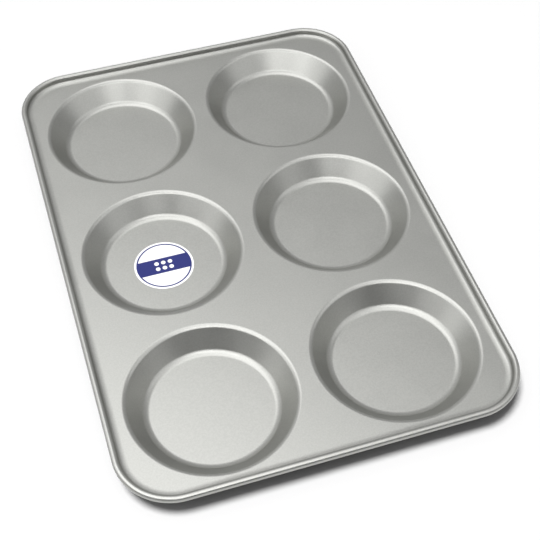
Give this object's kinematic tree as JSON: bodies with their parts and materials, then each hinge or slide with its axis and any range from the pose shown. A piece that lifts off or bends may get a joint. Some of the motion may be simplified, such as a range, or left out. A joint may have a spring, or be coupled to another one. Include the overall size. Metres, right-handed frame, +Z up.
{
  "type": "yorkshire pudding tray",
  "caption": "Shallow rectangular baking tray of coated sheet steel with rows of round sloping-walled cups, a raised border and a rim rolled round a wire, for baking Yorkshire puddings.",
  "frame": {"origin": "middle of the tray in plan, on the plane that the cups' undersides stand on", "axes": "+X across the tray, from the left column of cups to the right; +Y along it, from the front row to the back; +Z up, out of the cups"},
  "size_m": [0.2404, 0.3486, 0.0184],
  "materials": {
    "coated_steel": "satin silver-grey metallic non-stick coating with a fine grain",
    "wire": "drawn bright steel wire",
    "label_paper": "smooth printed paper sticker"
  },
  "bodies": {
    "root": {"tray_pressing": "coated_steel", "rim_wire": "wire", "label": "label_paper"}
  },
  "joints": []
}
